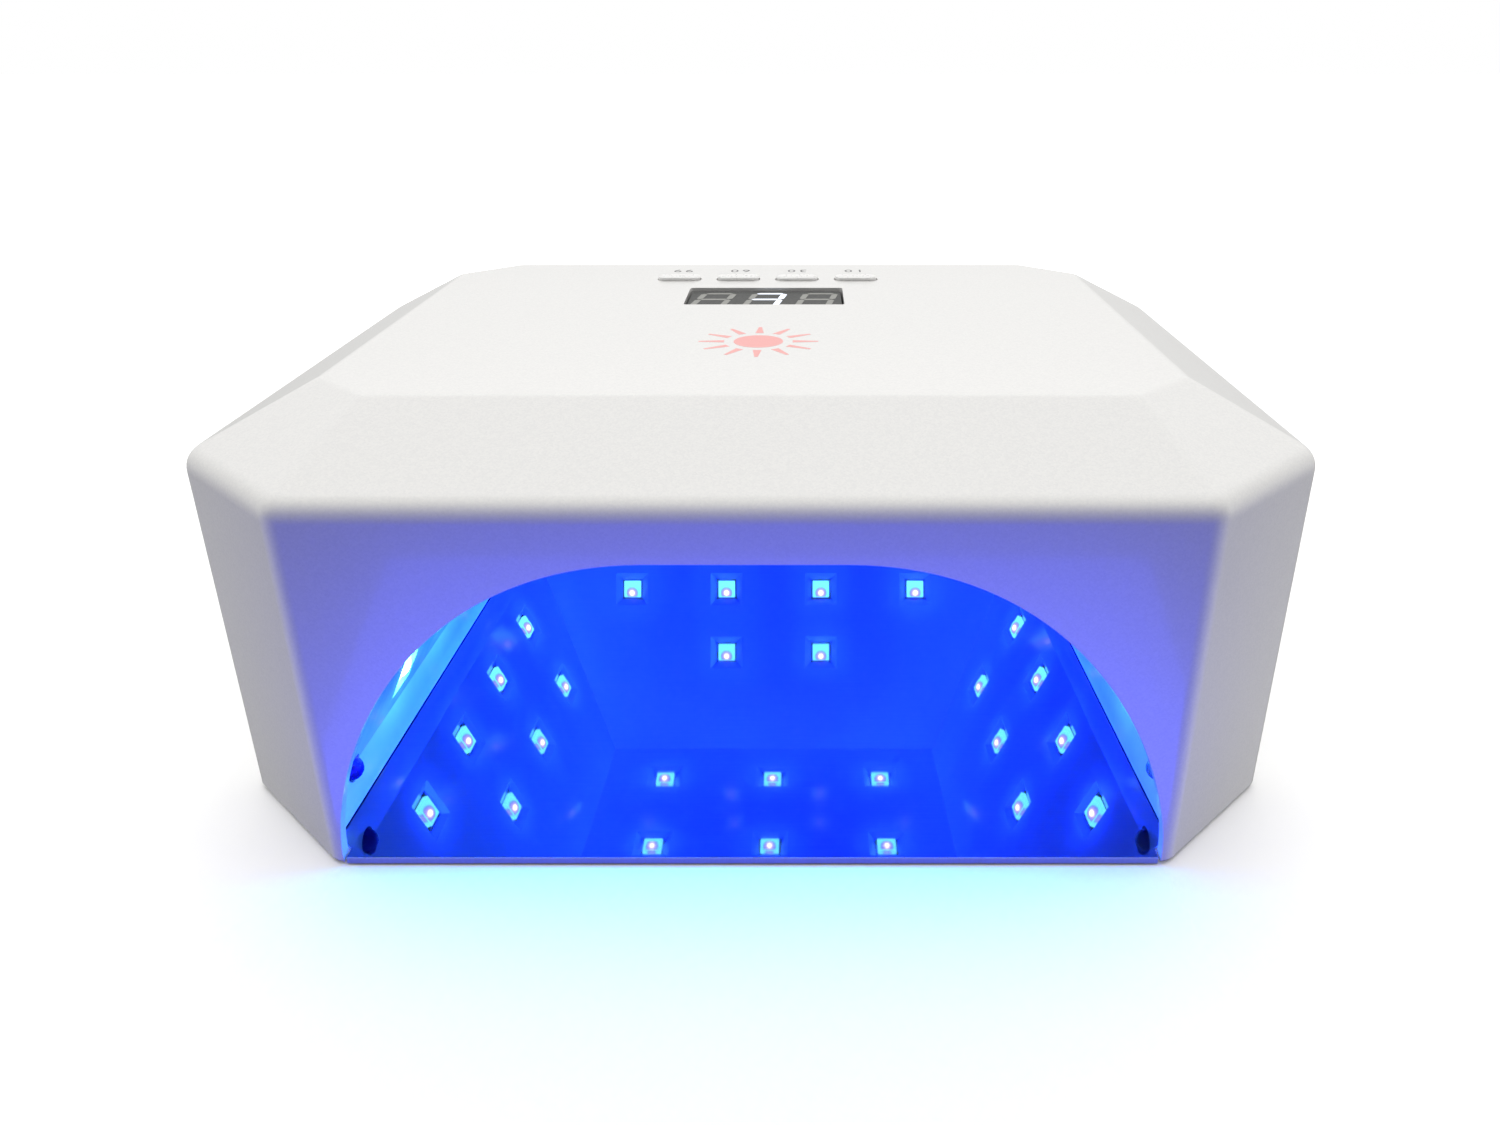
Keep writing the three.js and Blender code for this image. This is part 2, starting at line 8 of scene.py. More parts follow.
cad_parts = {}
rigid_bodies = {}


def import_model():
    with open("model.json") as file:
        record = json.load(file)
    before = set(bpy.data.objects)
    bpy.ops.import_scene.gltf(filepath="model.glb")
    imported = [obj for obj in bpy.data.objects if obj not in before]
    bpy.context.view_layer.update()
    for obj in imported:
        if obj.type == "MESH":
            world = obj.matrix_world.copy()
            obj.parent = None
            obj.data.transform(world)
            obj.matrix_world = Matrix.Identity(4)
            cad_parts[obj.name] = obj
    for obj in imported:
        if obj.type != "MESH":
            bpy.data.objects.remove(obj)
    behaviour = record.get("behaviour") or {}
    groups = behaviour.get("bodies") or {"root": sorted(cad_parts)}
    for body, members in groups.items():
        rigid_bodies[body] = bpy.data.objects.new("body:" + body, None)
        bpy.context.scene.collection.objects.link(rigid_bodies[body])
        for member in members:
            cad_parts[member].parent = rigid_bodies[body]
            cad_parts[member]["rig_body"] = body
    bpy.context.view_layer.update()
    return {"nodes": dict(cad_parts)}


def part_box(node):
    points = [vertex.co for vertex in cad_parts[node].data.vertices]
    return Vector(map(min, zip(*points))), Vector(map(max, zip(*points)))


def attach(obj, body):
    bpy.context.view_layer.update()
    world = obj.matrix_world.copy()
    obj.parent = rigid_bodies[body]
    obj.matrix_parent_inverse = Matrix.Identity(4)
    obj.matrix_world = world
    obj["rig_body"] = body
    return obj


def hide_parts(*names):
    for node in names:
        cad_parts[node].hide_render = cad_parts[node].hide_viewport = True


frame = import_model()

MM = 0.001


# ------------------------------------------------------------------ camera
CAMERA_PLACE = (0.0098, -0.2536, 0.1413)
CAMERA_PITCH = 65.02  # degrees up from straight down
CAMERA_LENS = 27.44
CAMERA_SHIFT = -0.0367


def make_camera():
    data = bpy.data.cameras.new("camera")
    data.sensor_width = 36
    data.lens = CAMERA_LENS
    data.shift_x = CAMERA_SHIFT
    data.clip_start = 0.005
    camera = bpy.data.objects.new("camera", data)
    camera.location = CAMERA_PLACE
    camera.rotation_euler = (math.radians(CAMERA_PITCH), 0, 0)
    bpy.context.scene.collection.objects.link(camera)
    bpy.context.scene.camera = camera


make_camera()
bpy.context.scene.view_settings.view_transform = "Standard"


# ------------------------------------------------------------------ materials
# Texture scales are in features for each metre, and bump distances are in metres.
class Shader:
    """A Principled material, with short calls for the textures that vary it."""

    def __init__(self, name, color, roughness, **sockets):
        self.material = bpy.data.materials.new(name)
        self.material.use_nodes = True
        self.tree = self.material.node_tree
        self.surface = self.tree.nodes["Principled BSDF"]
        self.surface.inputs["Base Color"].default_value = (*color, 1)
        self.surface.inputs["Roughness"].default_value = roughness
        for socket, value in sockets.items():
            self.surface.inputs[socket.replace("_", " ")].default_value = value
        self.coordinates = self.node("ShaderNodeTexCoord").outputs["Object"]

    def node(self, kind, **settings):
        made = self.tree.nodes.new(kind)
        for key, value in settings.items():
            setattr(made, key, value)
        return made

    def link(self, output, socket):
        self.tree.links.new(output, socket)

    def stretched(self, scale):
        mapping = self.node("ShaderNodeMapping")
        mapping.inputs["Scale"].default_value = scale
        self.link(self.coordinates, mapping.inputs["Vector"])
        return mapping.outputs["Vector"]

    def noise(self, scale, detail=2.0, vector=None):
        texture = self.node("ShaderNodeTexNoise")
        texture.inputs["Scale"].default_value = scale
        texture.inputs["Detail"].default_value = detail
        self.link(vector or self.coordinates, texture.inputs["Vector"])
        return texture.outputs["Fac"]

    def cells(self, scale):
        texture = self.node("ShaderNodeTexVoronoi")
        texture.inputs["Scale"].default_value = scale
        self.link(self.coordinates, texture.inputs["Vector"])
        return texture.outputs["Color"]

    def distance(self, ahead=0):
        """How far a point is from the line along Z through X = ahead, in the piece's own frame."""
        flat = self.node("ShaderNodeVectorMath", operation="MULTIPLY_ADD")
        flat.inputs[1].default_value = (1, 1, 0)
        flat.inputs[2].default_value = (-ahead, 0, 0)
        self.link(self.coordinates, flat.inputs[0])
        length = self.node("ShaderNodeVectorMath", operation="LENGTH")
        self.link(flat.outputs["Vector"], length.inputs[0])
        return length.outputs["Value"]

    def ramp(self, value, low, high, start=0.3, end=0.7):
        ramp = self.node("ShaderNodeMapRange")
        ramp.inputs["From Min"].default_value = start
        ramp.inputs["From Max"].default_value = end
        ramp.inputs["To Min"].default_value = low
        ramp.inputs["To Max"].default_value = high
        self.link(value, ramp.inputs["Value"])
        return ramp.outputs["Result"]

    def tint(self, factor, first, second):
        mix = self.node("ShaderNodeMix", data_type="RGBA")
        mix.inputs["A"].default_value = (*first, 1)
        mix.inputs["B"].default_value = (*second, 1)
        self.link(factor, mix.inputs["Factor"])
        return mix.outputs["Result"]

    def color_by(self, factor, first, second):
        self.link(self.tint(factor, first, second), self.surface.inputs["Base Color"])
        return self

    def roughness_by(self, value, low, high):
        self.link(self.ramp(value, low, high), self.surface.inputs["Roughness"])
        return self

    def bump(self, height, strength, distance):
        bump = self.node("ShaderNodeBump")
        bump.inputs["Strength"].default_value = strength
        bump.inputs["Distance"].default_value = distance
        self.link(height, bump.inputs["Height"])
        self.link(bump.outputs["Normal"], self.surface.inputs["Normal"])
        return self


def pearl_shell():
    """White paint with fine mica under a clear coat, with a faint orange peel."""
    color = (0.88, 0.875, 0.86)
    shader = Shader("pearl_shell", color, 0.4, Metallic=0.08, Coat_Weight=0.6, Coat_Roughness=0.06)
    flake = shader.node("ShaderNodeSeparateColor")
    shader.link(shader.cells(3200), flake.inputs["Color"])
    shader.color_by(flake.outputs["Red"], (0.84, 0.835, 0.825), (0.9, 0.893, 0.875))
    shader.roughness_by(flake.outputs["Green"], 0.3, 0.44)
    return shader.bump(shader.noise(420, 3), 0.12, 0.00005).material


def glossy_liner():
    """Smooth reflective white plastic, with faint flow lines down its walls."""
    shader = Shader("glossy_liner", (0.86, 0.88, 0.9), 0.14, Coat_Weight=0.3, Coat_Roughness=0.04)
    flow = shader.noise(30, 4, shader.stretched((6, 6, 0.6)))
    shader.color_by(flow, (0.82, 0.85, 0.88), (0.9, 0.92, 0.94))
    shader.roughness_by(flow, 0.1, 0.2)
    return shader.bump(flow, 0.15, 0.0003).material


def mirror_steel():
    """Dark polished sheet with fine straight buffing lines."""
    shader = Shader("mirror_steel", (0.1, 0.102, 0.12), 0.03, Metallic=1.0)
    lines = shader.noise(60, 6, shader.stretched((1.2, 40, 1)))
    shader.color_by(lines, (0.085, 0.09, 0.115), (0.1, 0.105, 0.13))
    shader.roughness_by(lines, 0.015, 0.05)
    return shader.bump(lines, 0.02, 0.00002).material


def cut_steel():
    """The sheet's sheared edge, which is rougher and paler than its face."""
    shader = Shader("cut_steel", (0.56, 0.65, 0.74), 0.5, Metallic=0.4)
    streaks = shader.noise(300, 3, shader.stretched((8, 1, 1)))
    shader.color_by(streaks, (0.5, 0.6, 0.68), (0.62, 0.7, 0.8))
    return shader.roughness_by(streaks, 0.4, 0.6).material


def moulded(name, color, roughness, depth=0.00004, scale=1500, **sockets):
    """Plastic or rubber with a fine moulded grain."""
    shader = Shader(name, color, roughness, **sockets)
    grain = shader.noise(scale, 3)
    darker = tuple(channel * 0.93 for channel in color)
    lighter = tuple(min(1, channel * 1.05) for channel in color)
    shader.color_by(grain, darker, lighter)
    shader.roughness_by(grain, roughness * 0.85, min(1, roughness * 1.15))
    return shader.bump(grain, 0.25, depth).material


def plated_steel():
    """Bright plated steel with fine turning marks."""
    shader = Shader("plated_steel", (0.66, 0.67, 0.69), 0.28, Metallic=1.0)
    turning = shader.noise(900, 4)
    shader.color_by(turning, (0.58, 0.59, 0.61), (0.72, 0.73, 0.75))
    return shader.roughness_by(turning, 0.2, 0.38).material


def circuit_board(name, mask, copper):
    """Solder mask over tracks that show as slightly raised, lighter lines."""
    shader = Shader(name, mask, 0.35, Coat_Weight=0.4, Coat_Roughness=0.15)
    brick = shader.node("ShaderNodeTexBrick", offset=0.37)
    brick.inputs["Scale"].default_value = 130
    brick.inputs["Mortar Size"].default_value = 0.03
    shader.link(shader.coordinates, brick.inputs["Vector"])
    shader.color_by(brick.outputs["Fac"], mask, copper)
    return shader.bump(brick.outputs["Fac"], 0.3, 0.00005).material


def glowing(name, base, glow, strength, rings=None):
    """A lit surface. Rings gives its glow's colours at shares of LENS_RADIUS from its brightest point."""
    shader = Shader(name, base, 0.2, Emission_Strength=strength)
    shader.surface.inputs["Emission Color"].default_value = (*glow, 1)
    if rings:
        ramp = shader.node("ShaderNodeValToRGB")
        ramp.color_ramp.elements[0].color = (*glow, 1)
        ramp.color_ramp.elements.remove(ramp.color_ramp.elements[1])
        for share, color in rings:
            ramp.color_ramp.elements.new(share).color = (*color, 1)
        shader.link(shader.ramp(shader.distance(GLOW_AHEAD), 0, 1, 0, LENS_RADIUS), ramp.inputs["Fac"])
        shader.link(ramp.outputs["Color"], shader.surface.inputs["Emission Color"])
    return shader.material


def ink(name, color):
    """Pad-printed ink, a little uneven."""
    shader = Shader(name, color, 0.5)
    patches = shader.noise(2500, 4)
    paler = tuple(channel + (1 - channel) * 0.12 for channel in color)
    return shader.color_by(patches, color, paler).material


# ------------------------------------------------------------------ mesh helpers
MERGE_DISTANCE = 0.002 * MM
FLAT_ANGLE = 1  # degrees; faces that turn by less are one face
EDGE_ANGLE = 35  # degrees; edges of a CAD node that turn by more are rounded
LEVEL = 0.05 * MM  # points this close in height lie in one plane
LIP_FACING = -0.6  # the tray's front lip has normals with a Y below this


def new_piece(name, mesh, material, body="housing"):
    piece = bpy.data.objects.new(name, mesh)
    bpy.context.scene.collection.objects.link(piece)
    mesh.materials.append(material)
    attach(piece, body)
    return piece


def mesh_from(name, points, faces):
    mesh = bpy.data.meshes.new(name)
    mesh.from_pydata([tuple(point) for point in points], [], faces)
    mesh.update()
    return mesh


def apply_modifiers(piece):
    bpy.context.view_layer.update()
    evaluated = piece.evaluated_get(bpy.context.evaluated_depsgraph_get())
    mesh = bpy.data.meshes.new_from_object(evaluated)
    piece.modifiers.clear()
    piece.data = mesh


def weigh_normals(piece):
    """Smooth shading in which the large flat faces stay flat."""
    for polygon in piece.data.polygons:
        polygon.use_smooth = True
    modifier = piece.modifiers.new("weights", "WEIGHTED_NORMAL")
    modifier.weight = 100
    modifier.keep_sharp = True
    apply_modifiers(piece)


def round_edges(mesh, width, segments, angle):
    """Merges a faceted mesh's flat areas, then rounds every edge that turns by more than angle degrees."""
    work = bmesh.new()
    work.from_mesh(mesh)
    bmesh.ops.remove_doubles(work, verts=work.verts, dist=MERGE_DISTANCE)
    bmesh.ops.dissolve_limit(work, angle_limit=math.radians(FLAT_ANGLE), verts=work.verts, edges=work.edges)
    limit = math.radians(angle)
    sharp = [e for e in work.edges if e.is_manifold and e.calc_face_angle(0) > limit]
    bmesh.ops.bevel(
        work, geom=sharp, offset=width, segments=segments, profile=0.5, affect="EDGES", clamp_overlap=True
    )
    work.to_mesh(mesh)
    work.free()


def fine_copy(node, material, width, segments=3):
    """The CAD node's own shape with rounded edges, in its place and on its body."""
    source = frame["nodes"][node]
    mesh = source.data.copy()
    mesh.materials.clear()
    round_edges(mesh, width, segments, EDGE_ANGLE)
    piece = new_piece(f"{node}_fine", mesh, material, source["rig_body"])
    weigh_normals(piece)
    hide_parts(node)
    return piece


def nodes_named(prefix):
    return sorted(name for name in frame["nodes"] if name.startswith(prefix))


def make_tray(face, edge):
    """The polished sheet, whose front lip shows the sheared edge."""
    mesh = fine_copy("base_tray", face, 0.15 * MM).data
    mesh.materials.append(edge)
    for polygon in mesh.polygons:
        if polygon.normal.y < LIP_FACING:
            polygon.material_index = 1


# ------------------------------------------------------------------ housing
# Lengths in this section are in millimetres.
WALLS = {"half_x": 102.5, "front": -84, "back": 84, "front_cut": 25, "back_cut": 25, "radius": 5}
CROWN = {"half_x": 82, "front": -55, "back": 70.5, "front_cut": 12, "back_cut": 13, "radius": 1.5}
WALL_BOTTOM = 0.5
SHOULDER_Z = 72
TOP_Z = 82
SHELL = 2.5
INNER_SHOULDER_Z = 70.3
INNER_CROWN_INSET = 0.6
# The arch: half a cubic curve from a foot up to the flat middle of its top; the pulls set its fullness.
ARCH = {"half_x": 76.1, "top": 61.8, "flat": 17, "pull": 41, "foot_z": 0.7, "foot_pull": 21.5}
KEY_RADIUS = 2
KEY_GAP = 0.35
DISPLAY_MARGIN = 0.4
DISPLAY_CORNER = 0.8
JACK_HOLE = 4.3
HOLE_SIDES = 48
WALL_CUT = 5  # how far a cutter reaches to each side of a wall's outer face
TOP_CUT = 6
ARCH_CUT = 10  # how far the arch's cutter reaches below the table
HOUSING_EDGE = 0.35
HOUSING_EDGE_ANGLE = 50  # degrees

# How the shell's edges are rounded: the wall turns into the facet over SHOULDER_DROP below the shoulder
# and the share SHOULDER_RISE of the facet, and the facet into the top from the share CREST on.
CORNER_STEPS = 8
SHOULDER_STEPS = 8
SHOULDER_DROP = 3.1
SHOULDER_RISE = 0.12
CREST = 0.965
CREST_INSET = 0.8
CREST_STEPS = 4
FOOT_ROUND = 0.6
FOOT_BEND = 0.3  # the share of FOOT_ROUND, from each side, at which the foot's rounding has its middle ring


def mix_plans(a, b, share):
    return {key: a[key] + (b[key] - a[key]) * share for key in a}


def inset_plan(plan, inset):
    shrink = (2 - math.sqrt(2)) * inset
    return {
        "half_x": plan["half_x"] - inset,
        "front": plan["front"] + inset,
        "back": plan["back"] - inset,
        "front_cut": plan["front_cut"] - shrink,
        "back_cut": plan["back_cut"] - shrink,
        "radius": plan["radius"],
    }


def quadratic(start, control, end, t):
    return start * (1 - t) ** 2 + control * 2 * t * (1 - t) + end * t**2


def ring(plan, z):
    """The octagon's points at one height, with rounded corners, in metres."""
    half_x, front, back = plan["half_x"], plan["front"], plan["back"]
    right = [
        Vector((half_x - plan["front_cut"], front, z)),
        Vector((half_x, front + plan["front_cut"], z)),
        Vector((half_x, back - plan["back_cut"], z)),
        Vector((half_x - plan["back_cut"], back, z)),
    ]
    left = [Vector((-point.x, point.y, z)) for point in reversed(right)]
    corners = right + left
    tangent = plan["radius"] * math.tan(math.pi / 8)
    points = []
    for i, corner in enumerate(corners):
        start = corner + (corners[i - 1] - corner).normalized() * tangent
        end = corner + (corners[(i + 1) % len(corners)] - corner).normalized() * tangent
        for step in range(CORNER_STEPS + 1):
            points.append(quadratic(start, corner, end, step / CORNER_STEPS) * MM)
    return points


def outside_rings():
    rings = [ring(inset_plan(WALLS, FOOT_ROUND), WALL_BOTTOM)]
    bend = FOOT_ROUND * FOOT_BEND
    rings.append(ring(inset_plan(WALLS, bend), WALL_BOTTOM + bend))
    rings.append(ring(WALLS, WALL_BOTTOM + FOOT_ROUND))
    rise = TOP_Z - SHOULDER_Z
    for step in range(SHOULDER_STEPS + 1):
        t = step / SHOULDER_STEPS
        share = SHOULDER_RISE * t**2
        z = SHOULDER_Z - (1 - t) ** 2 * SHOULDER_DROP + share * rise
        rings.append(ring(mix_plans(WALLS, CROWN, share), z))
    crest_z = SHOULDER_Z + CREST * rise
    for step in range(CREST_STEPS + 1):
        t = step / CREST_STEPS
        share = CREST + (1 - CREST) * (1 - (1 - t) ** 2)
        z = quadratic(crest_z, TOP_Z, TOP_Z, t)
        rings.append(ring(inset_plan(mix_plans(WALLS, CROWN, share), CREST_INSET * t**2), z))
    return rings


def inside_rings():
    walls = {**inset_plan(WALLS, SHELL), "radius": WALLS["radius"] / 2}
    crown = inset_plan(CROWN, INNER_CROWN_INSET)
    ceiling = TOP_Z - SHELL
    return [ring(crown, ceiling), ring(walls, INNER_SHOULDER_Z), ring(walls, WALL_BOTTOM)]


def shell_mesh():
    rings = inside_rings() + outside_rings()
    count = len(rings[0])
    faces = []
    for level in range(len(rings) - 1):
        low, high = level * count, (level + 1) * count
        for i in range(count):
            after = (i + 1) % count
            faces.append((low + i, low + after, high + after, high + i))
    faces.append(tuple(reversed(range(count))))
    last = (len(rings) - 1) * count
    faces.append(tuple(range(last, last + count)))
    return mesh_from("housing_shell", [point for level in rings for point in level], faces)


def circle(radius, sides, x=0, y=0):
    turns = [2 * math.pi * i / sides for i in range(sides)]
    return [(x + radius * math.cos(a), y + radius * math.sin(a)) for a in turns]


def along_y(u, v, along):
    return u, along, v


def along_z(u, v, along):
    return u, v, along


def prism(outline, direction, start, end):
    """A closed prism: the outline's points are in metres, and direction maps (u, v, along) to X, Y, Z."""
    points = [direction(u, v, start) for u, v in outline] + [direction(u, v, end) for u, v in outline]
    count = len(outline)
    faces = [(i, (i + 1) % count, count + (i + 1) % count, count + i) for i in range(count)]
    faces.append(tuple(reversed(range(count))))
    faces.append(tuple(range(count, 2 * count)))
    return points, faces


def prisms_mesh(name, prisms):
    """One mesh of separate closed prisms, each given as what prism takes."""
    points, faces = [], []
    for outline, direction, start, end in prisms:
        made_points, made_faces = prism(outline, direction, start, end)
        faces.extend(tuple(i + len(points) for i in face) for face in made_faces)
        points.extend(made_points)
    return mesh_from(name, points, faces)


def rounded_rectangle(width, depth, radius, steps=8):
    outline = []
    for quarter, (sx, sy) in enumerate([(1, 1), (-1, 1), (-1, -1), (1, -1)]):
        for step in range(steps + 1):
            angle = (quarter + step / steps) * math.pi / 2
            x = sx * (width / 2 - radius) + radius * math.cos(angle)
            y = sy * (depth / 2 - radius) + radius * math.sin(angle)
            outline.append((x, y))
    return outline


def moved(outline, x, y):
    return [(u + x, v + y) for u, v in outline]


def arch_outline(steps=48):
    top, flat, half_x = ARCH["top"], ARCH["flat"], ARCH["half_x"]
    points = [
        Vector((half_x, ARCH["foot_z"])),
        Vector((half_x, ARCH["foot_z"] + ARCH["foot_pull"])),
        Vector((flat + ARCH["pull"], top)),
        Vector((flat, top)),
    ]
    right = []
    for step in range(steps + 1):
        t = step / steps
        weights = [(1 - t) ** 3, 3 * t * (1 - t) ** 2, 3 * t**2 * (1 - t), t**3]
        point = sum((p * w for p, w in zip(points, weights)), Vector((0, 0)))
        right.append((point.x * MM, point.y * MM))
    left = [(-x, z) for x, z in reversed(right)]
    below = -ARCH_CUT * MM
    return [(half_x * MM, below)] + right + left + [(-half_x * MM, below)]


def cutter_mesh():
    """All the housing's openings as one mesh of separate closed prisms."""
    front = [(WALLS["front"] + reach) * MM for reach in (-WALL_CUT, WALL_CUT)]
    back = [(WALLS["back"] + reach) * MM for reach in (-WALL_CUT, WALL_CUT)]
    top = [(TOP_Z + reach) * MM for reach in (-TOP_CUT, TOP_CUT)]
    cuts = [(arch_outline(), along_y, *front)]
    low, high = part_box("display_module")
    size, middle = high - low, (low + high) / 2
    grow = 2 * DISPLAY_MARGIN * MM
    outline = rounded_rectangle(size.x + grow, size.y + grow, DISPLAY_CORNER * MM)
    cuts.append((moved(outline, middle.x, middle.y), along_z, *top))
    for key in nodes_named("key_"):
        x, y, width, depth = key_outline(key)
        grow = 2 * KEY_GAP * MM
        outline = rounded_rectangle(width + grow, depth + grow, (KEY_RADIUS + KEY_GAP) * MM)
        cuts.append((moved(outline, x, y), along_z, *top))
    low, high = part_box("dc_jack")
    middle = (low + high) / 2
    cuts.append((circle(JACK_HOLE * MM, HOLE_SIDES, middle.x, middle.z), along_y, *back))
    return prisms_mesh("openings", cuts)


def key_outline(key):
    """The middle and the size of a key's cap above its flange."""
    vertices = [v.co for v in frame["nodes"][key].data.vertices]
    top = max(v.z for v in vertices)
    cap = [v for v in vertices if v.z > top - LEVEL]
    xs, ys = [v.x for v in cap], [v.y for v in cap]
    return (min(xs) + max(xs)) / 2, (min(ys) + max(ys)) / 2, max(xs) - min(xs), max(ys) - min(ys)


def make_housing(material):
    shell = new_piece("housing_shell", shell_mesh(), material)
    cutter = bpy.data.objects.new("openings", cutter_mesh())
    bpy.context.scene.collection.objects.link(cutter)
    for piece in (shell, cutter):
        work = bmesh.new()
        work.from_mesh(piece.data)
        bmesh.ops.recalc_face_normals(work, faces=work.faces)
        work.to_mesh(piece.data)
        work.free()
    cut = shell.modifiers.new("cut", "BOOLEAN")
    cut.operation = "DIFFERENCE"
    cut.solver = "EXACT"
    cut.object = cutter
    apply_modifiers(shell)
    bpy.data.objects.remove(cutter)
    round_edges(shell.data, HOUSING_EDGE * MM, 3, HOUSING_EDGE_ANGLE)
    weigh_normals(shell)
    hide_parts("top_housing")


# ------------------------------------------------------------------ display
# Lengths in this section are in millimetres.
DIGIT_PITCH = 12.7
DIGIT_HEIGHT = 14.8
DIGIT_WIDTH = 8.8
SEGMENT = 1.5
SEGMENT_GAP = 0.22
SEGMENT_STANDS = 0.04
SEGMENT_THICKNESS = 0.3
POINT_PLACE = (5.2, -6.3)
POINT_RADIUS = 0.8
POINT_SIDES = 16
SLANT = math.tan(math.radians(9))
LIT_SEGMENTS = "abcdg"


def segment_outlines():
    """Each segment as a bar with pointed ends: its middle, its half length and whether it is upright."""
    half_w, half_h = DIGIT_WIDTH / 2, DIGIT_HEIGHT / 2
    bar = half_w - SEGMENT / 2
    row = (half_h - SEGMENT / 2) / 2
    return {
        "a": ((0, half_h - SEGMENT / 2), bar, False),
        "b": ((bar, row), row, True),
        "c": ((bar, -row), row, True),
        "d": ((0, -half_h + SEGMENT / 2), bar, False),
        "e": ((-bar, -row), row, True),
        "f": ((-bar, row), row, True),
        "g": ((0, 0), bar, False),
    }


def bar_outline(centre, half_length, upright):
    reach = half_length - SEGMENT_GAP
    half = SEGMENT / 2
    shape = [(-reach, 0), (-reach + half, -half), (reach - half, -half), (reach, 0)]
    shape += [(reach - half, half), (-reach + half, half)]
    if upright:
        shape = [(-v, u) for u, v in shape]
    return [(centre[0] + u, centre[1] + v) for u, v in shape]


def segments_mesh(name, outlines, surface, middle):
    """Slanted digit shapes as thin prisms around a digit's middle, up to the surface."""
    depth = (surface - SEGMENT_THICKNESS * MM, surface)
    prisms = []
    for outline in outlines:
        placed = [(middle.x + (u + SLANT * v) * MM, middle.y + v * MM) for u, v in outline]
        prisms.append((placed, along_z, *depth))
    return prisms_mesh(name, prisms)


def make_display(face_material, unlit, lit):
    fine_copy("display_module", face_material, 0.2 * MM)
    low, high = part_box("display_module")
    centre = (low + high) / 2
    surface = high.z + SEGMENT_STANDS * MM
    outlines = segment_outlines()
    for digit in (-1, 0, 1):
        middle = Vector((centre.x + digit * DIGIT_PITCH * MM, centre.y))
        lit_names = LIT_SEGMENTS if digit == 0 else ""
        groups = [
            ("dark_segments", unlit, [bar_outline(*outlines[n]) for n in outlines if n not in lit_names]),
            ("lit_segments", lit, [bar_outline(*outlines[n]) for n in lit_names]),
            ("point", unlit, [circle(POINT_RADIUS, POINT_SIDES, *POINT_PLACE)]),
        ]
        for kind, material, shapes in groups:
            if shapes:
                name = f"digit_{digit + 2}_{kind}"
                new_piece(name, segments_mesh(name, shapes, surface, middle), material)


# ------------------------------------------------------------------ print on the top face
PRINT_THICKNESS = 0.03 * MM
LABEL_SIZE = 4.6 * MM
LABEL_SPACING = 1.35
LABEL_Y = 61.2 * MM
SUN_Y = -16.3 * MM
# The sun's own sizes, in millimetres: its disc, and each ray's ends and half widths there.
SUN_DISC = 5.2
SUN_SIDES = 64
SUN_RAYS = 12
RAY_INNER, RAY_INNER_HALF = 7.2, 0.9
RAY_OUTER, RAY_OUTER_HALF = 12.6, 0.35


def make_label(seconds, x, material):
    """A number of seconds, which reads from the back of the lamp."""
    curve = bpy.data.curves.new(f"label_{seconds}", "FONT")
    curve.body = str(seconds)
    curve.size = LABEL_SIZE
    curve.extrude = PRINT_THICKNESS / 2
    curve.space_character = LABEL_SPACING
    curve.align_x = "CENTER"
    curve.align_y = "CENTER"
    text = bpy.data.objects.new(f"label_{seconds}_curve", curve)
    bpy.context.scene.collection.objects.link(text)
    turn = Matrix.Translation((x, LABEL_Y, TOP_Z * MM)) @ Matrix.Rotation(math.pi, 4, "Z")
    bpy.context.view_layer.update()
    mesh = bpy.data.meshes.new_from_object(text.evaluated_get(bpy.context.evaluated_depsgraph_get()))
    mesh.transform(turn)
    bpy.data.objects.remove(text)
    new_piece(f"label_{seconds}s", mesh, material)


def make_sun(material):
    """A plain sun: a disc inside a ring of rays."""
    shapes = [circle(SUN_DISC, SUN_SIDES)]
    for ray in range(SUN_RAYS):
        angle = 2 * math.pi * ray / SUN_RAYS
        along = Vector((math.cos(angle), math.sin(angle)))
        across = Vector((-along.y, along.x))
        inner, outer = along * RAY_INNER, along * RAY_OUTER
        corners = [inner - across * RAY_INNER_HALF, outer - across * RAY_OUTER_HALF]
        corners += [outer + across * RAY_OUTER_HALF, inner + across * RAY_INNER_HALF]
        shapes.append(corners)
    base = TOP_Z * MM - PRINT_THICKNESS / 2
    prisms = []
    for shape in shapes:
        placed = [(u * MM, SUN_Y + v * MM) for u, v in shape]
        prisms.append((placed, along_z, base, base + PRINT_THICKNESS))
    new_piece("sun_symbol", prisms_mesh("sun_symbol", prisms), material)


# ------------------------------------------------------------------ LEDs
LEAN = 0.461  # how the reflector's side and back walls face down
TAPER = 0.032  # how its side walls close towards the back
INWARD = {
    "top": Vector((0, 0, -1)),
    "left": Vector((1, -TAPER, -LEAN)).normalized(),
    "right": Vector((-1, -TAPER, -LEAN)).normalized(),
    "back": Vector((0, -1, -LEAN)).normalized(),
}
ALONG = {
    "top": Vector((0, 1, 0)),
    "left": Vector((TAPER, 1, 0)).normalized(),
    "right": Vector((-TAPER, 1, 0)).normalized(),
    "back": Vector((0, LEAN, -1)).normalized(),
}
LED_SIDE = 5.1 * MM
LED_THICKNESS = 1.4 * MM
LED_EDGE = 0.2 * MM
LENS_RADIUS = 2.1 * MM
LENS_HEIGHT = 0.8 * MM
LENS_RINGS = 8
LENS_SIDES = 32
GLOW_AHEAD = -1.2 * MM  # the brightest point of a lens stands towards the arch
# The last colour runs on past the lens over the package's flat face: painted cyan light of the LED on its
# body.
LENS_AND_PAINTED_BODY_GLOW = [
    (0.24, (1.0, 0.85, 0.95)),
    (0.44, (0.26, 0.2, 0.75)),
    (0.76, (0.1, 0.14, 0.55)),
    (0.94, (0.1, 0.5, 0.55)),
]
LIGHT_RADIUS = 0.4 * MM
LIGHT_LIFT = 2.8 * MM
LED_POWER = 0.115
LED_COLOR = (0.006, 0.04, 1.0)


